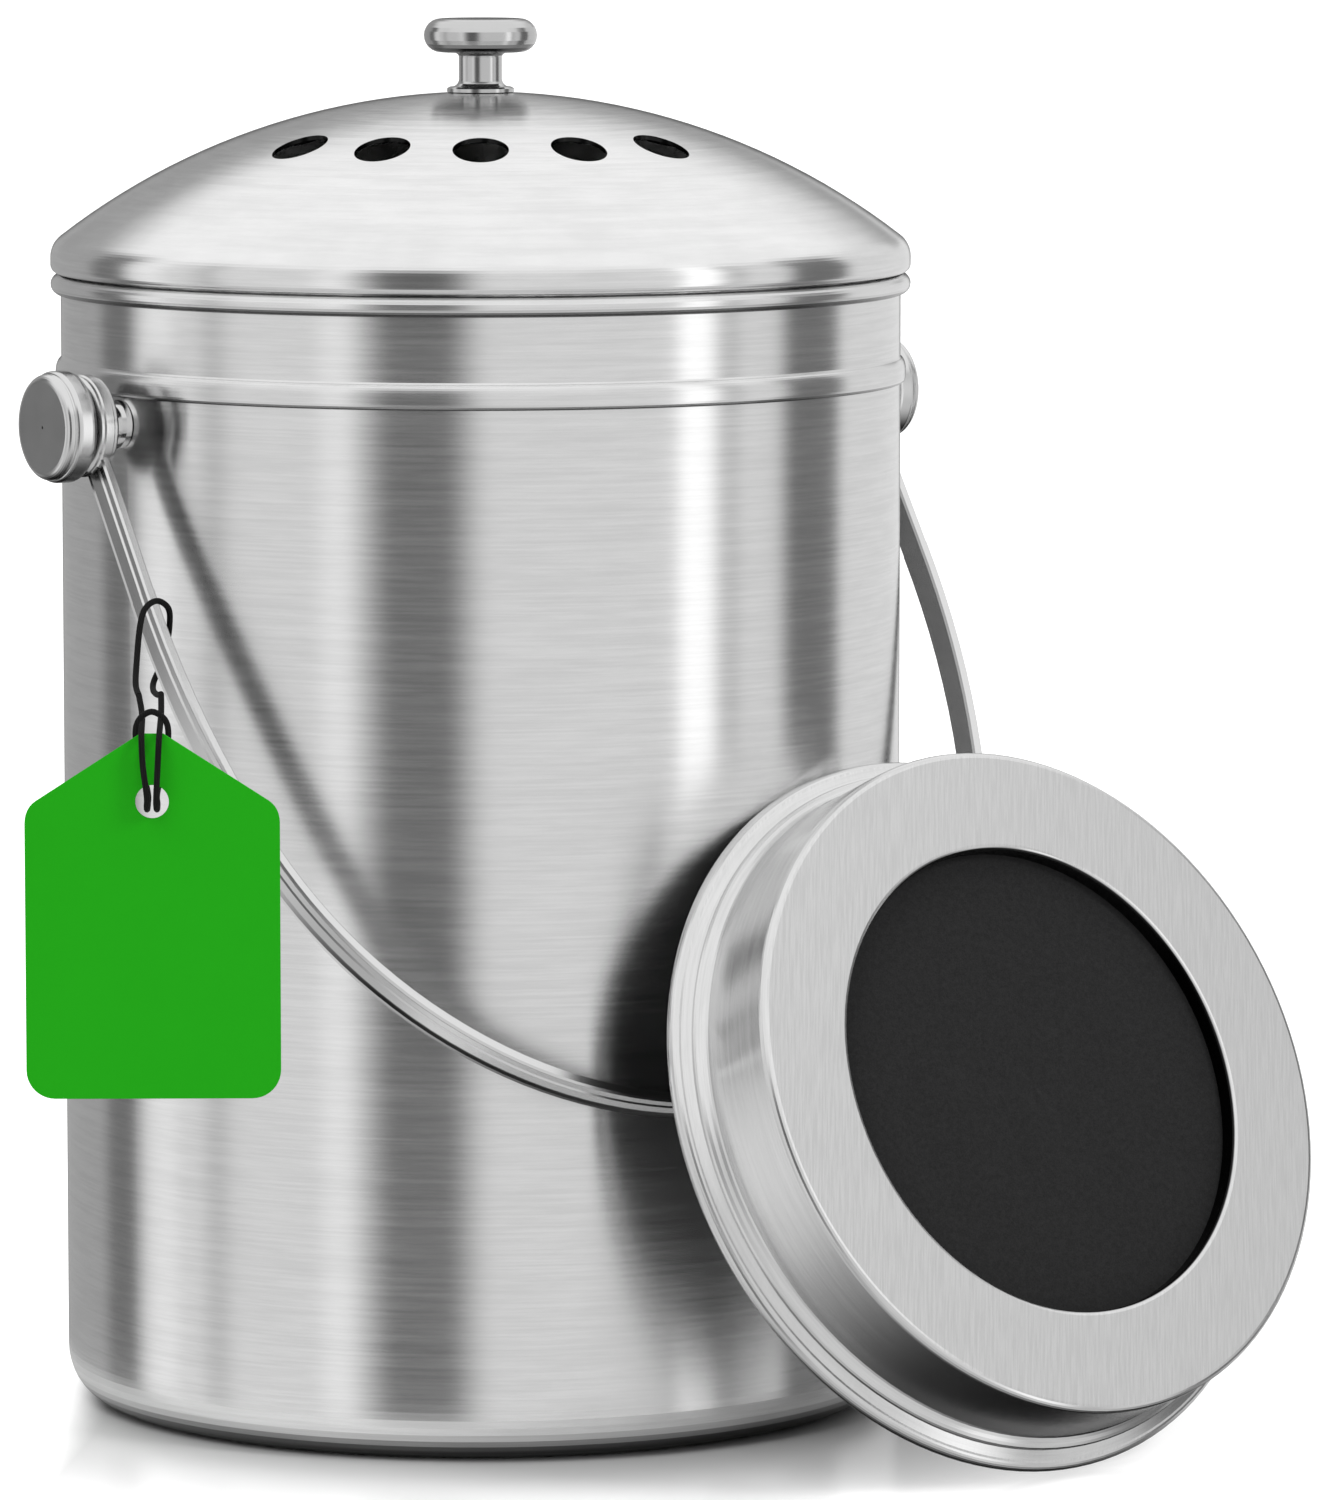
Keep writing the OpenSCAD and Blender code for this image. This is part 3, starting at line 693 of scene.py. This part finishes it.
# Floor: where its painted light, a glow for the camera, begins, measured from the axis and to the left
# of it, and where the steel stops seeing it and sees the low part of the studio instead
FLOOR_HALF = 20
FLOOR_DROP = 0.0002
GLOW = (0.08, 0.2)
GLOW_LEFT = (0.074, 0.09)
SEEN_FLOOR = (0.098, 0.115)

# Lamps: the place, the size and the power. Both point at the pail and don't show in the steel.
LAMP_AIM = Vector((0, 0, 0.1))
LAMPS = {
    "left_lamp": ((-1.0, -0.35, 1.6), 1.0, 12),
    "right_lamp": ((0.65, -1.35, 1.25), 0.5, 12),
}


def add_world():
    world = bpy.data.worlds.new("studio")
    bpy.context.scene.world = world
    world.use_nodes = True
    world.cycles.sampling_method = "NONE"
    n = Nodes(world.node_tree)
    way = n.add("ShaderNodeTexCoord").outputs["Generated"]
    up = n.split(way)[2]
    turn = math.radians(CAMERA_TURN)
    right = n.vector("DOT_PRODUCT", way, (math.cos(turn), -math.sin(turn), 0))
    near = n.vector("DOT_PRODUCT", way, (-math.sin(turn), -math.cos(turn), 0))
    angle = n.math("MULTIPLY", n.math("ARCTAN2", right, near), 180 / math.pi)
    tone = OPEN_TONE
    for centre, width, soft, strength in CARDS:
        off = n.math("ABSOLUTE", n.math("SUBTRACT", angle, centre))
        tone = n.mix(n.fall(off, (width - soft) / 2, (width + soft) / 2), tone, strength)
    behind = n.math("MULTIPLY", n.fall(near, *BEHIND), n.rise(up, *BEHIND_RISE))
    tone = n.mix(behind, tone, BEHIND_TONE)
    tone = n.mix(n.rise(up, *HIGH), tone, HIGH_TONE)
    tone = n.mix(n.fall(up, *LOW), tone, n.between(near, *SHADOW, SHADOW_TONE, FLOOR_TONE))
    tone = n.mix(n.fall(near, *EDGE), tone, EDGE_TONE)
    path = n.add("ShaderNodeLightPath").outputs
    shine = n.math("MAXIMUM", path["Is Glossy Ray"], path["Is Transmission Ray"])
    strength = n.mix(path["Is Camera Ray"], n.mix(shine, DIFFUSE_TONE, tone), 1.0)
    background = world.node_tree.nodes["Background"]
    n.put(background.inputs["Color"], (1, 1, 1, 1))
    n.put(background.inputs["Strength"], strength)


def floor_finish():
    """White floor with painted light, a glow for the camera away from the pail, that the steel sees only
    near it.
    """
    look = Finish("floor")
    path = look.add("ShaderNodeLightPath").outputs
    reach = look.vector("LENGTH", look.where)
    turn = math.radians(CAMERA_TURN)
    left = look.vector("DOT_PRODUCT", look.where, (-math.cos(turn), math.sin(turn), 0))
    # Painted light: the glow lifts the floor to white away from the pail and to its left, so the shade
    # round the pail ends where the glow begins
    glow = look.math("MAXIMUM", look.rise(reach, *GLOW), look.rise(left, *GLOW_LEFT))
    look.apply({
        "Base Color": (0.86, 0.86, 0.86, 1),
        "Roughness": 0.16,
        "Specular IOR Level": 0.4,
        "Emission Color": (1, 1, 1, 1),
        "Emission Strength": look.math("MULTIPLY", path["Is Camera Ray"], glow),
    })
    unseen = look.math("MULTIPLY", path["Is Glossy Ray"], look.rise(reach, *SEEN_FLOOR))
    clear = look.add("ShaderNodeBsdfTransparent").outputs[0]
    both = look.add("ShaderNodeMixShader", {0: unseen, 1: look.shader.outputs[0], 2: clear})
    look.put(look.tree.nodes["Material Output"].inputs["Surface"], both.outputs[0])
    return look.material


def add_floor():
    b = bmesh.new()
    bmesh.ops.create_grid(b, x_segments=8, y_segments=8, size=FLOOR_HALF)
    floor = new_object("floor", new_mesh("floor", b, floor_finish()))
    floor.location.z = -FLOOR_DROP


def add_lamp(name, place, size, power):
    data = bpy.data.lights.new(name, "AREA")
    data.shape = "DISK"
    data.size = size
    data.energy = power
    lamp = new_object(name, data)
    lamp.location = place
    lamp.rotation_euler = (LAMP_AIM - Vector(place)).to_track_quat("-Z", "Y").to_euler()
    lamp.visible_glossy = False


def paint(material, *nodes):
    for node in nodes:
        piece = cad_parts[node]
        for slot in piece.material_slots:
            slot.material = material
        if not piece.material_slots:
            piece.data.materials.append(material)


add_camera()
loop, cord = add_cords()
tag = add_tag(green_card())

spare_at, spare_turned = spare_place()
spare_matrix = placed(spare_at, spare_turned)
spare_axis = tuple(spare_matrix.to_3x3() @ Vector((0, 0, -1)))
felt = carbon_felt()
add_pad("felt_pad", "charcoal_filter", "filter", Matrix.Translation((0, 0, CUP_FACE_Z)), felt)
add_pad("spare_felt_pad", "spare_charcoal_filter", "spare", spare_matrix, felt)

paint(pail_steel(), "pail_shell")
paint(lid_steel(), "lid_dome", "lid_collar")
paint(cup_steel(), "filter_cup")
paint(spare_steel(spare_axis, (spare_at, spare_turned)), "spare_filter_cup")
paint(satin_steel(), "bail_handle")
paint(pivot_steel(), "pivot_knob_left", "pivot_knob_right")
paint(lid_knob_steel(), "lid_knob")
paint(bright_steel(), "knob_washer", "knob_screw", "wall_washer_left", "wall_washer_right",
      "pivot_stud_left", "pivot_stud_right", "pivot_nut_left", "pivot_nut_right")

add_world()
add_floor()
for name, (place, size, power) in LAMPS.items():
    add_lamp(name, place, size, power)
bpy.context.scene.view_settings.view_transform = "Standard"
